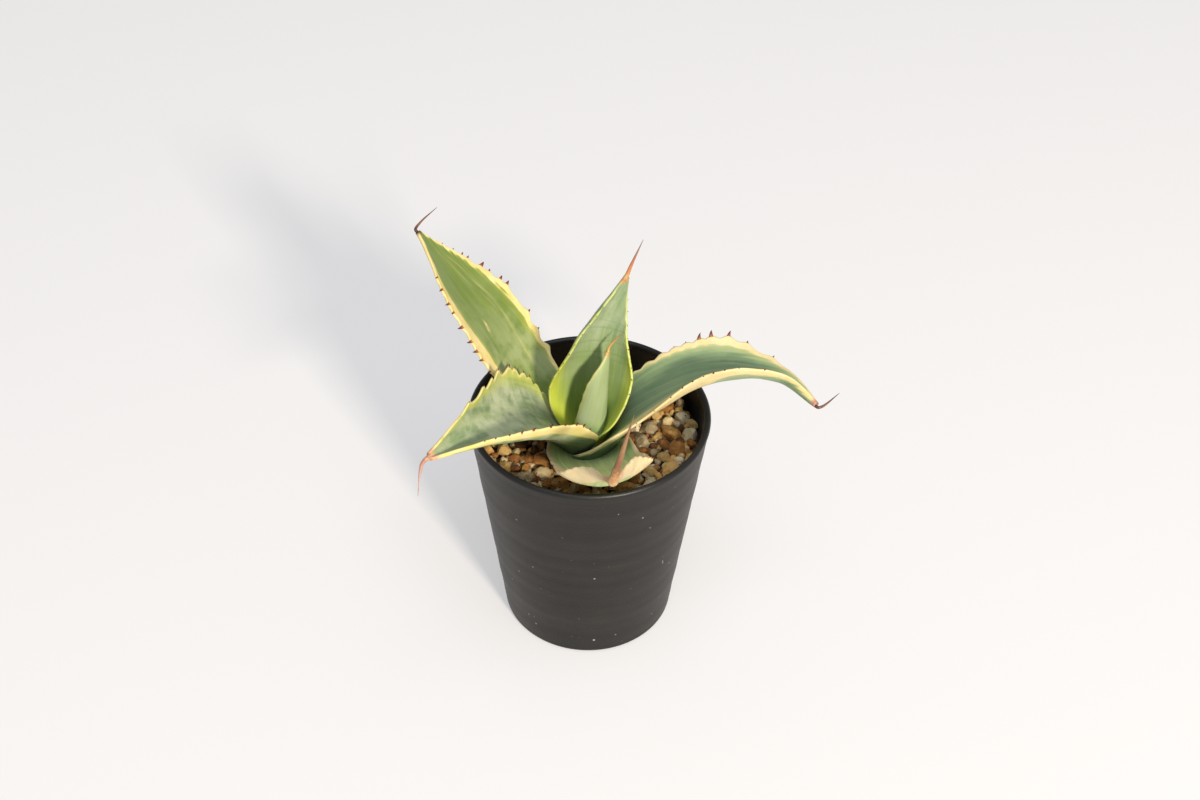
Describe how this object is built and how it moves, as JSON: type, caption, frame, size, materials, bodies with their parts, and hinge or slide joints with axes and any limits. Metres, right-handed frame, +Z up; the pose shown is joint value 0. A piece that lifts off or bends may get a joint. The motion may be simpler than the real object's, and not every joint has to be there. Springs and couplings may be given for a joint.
{
  "type": "potted agave",
  "caption": "Potted agave: an open rosette of broad, cream-edged toothed leaves with horny end spines, standing in a tall tapered nursery pot filled with mineral granules.",
  "frame": {"origin": "middle of the pot's flat underside, where it meets the table", "axes": "+Z up along the pot's axis; +X to the right and -Y towards the viewer of the picture"},
  "size_m": [0.1796, 0.1316, 0.1964],
  "materials": {
    "pot_plastic": "satin",
    "stem_tissue": "matte",
    "granules": "matte",
    "leaf_inner_blade": "satin",
    "leaf_centre_blade": "satin",
    "leaf_front_left_blade": "satin",
    "leaf_back_left_blade": "satin",
    "leaf_right_blade": "satin",
    "leaf_front_blade": "satin",
    "horny_spine": "satin"
  },
  "bodies": {
    "root": {"pot": "pot_plastic", "stem": "stem_tissue", "soil": "granules", "leaf_inner": "leaf_inner_blade", "leaf_inner_spine": "horny_spine", "leaf_centre": "leaf_centre_blade", "leaf_centre_spine": "horny_spine", "leaf_front_left": "leaf_front_left_blade", "leaf_front_left_spine": "horny_spine", "leaf_back_left": "leaf_back_left_blade", "leaf_back_left_spine": "horny_spine", "leaf_right": "leaf_right_blade", "leaf_right_spine": "horny_spine", "leaf_front": "leaf_front_blade", "leaf_front_spine": "horny_spine"}
  },
  "joints": []
}
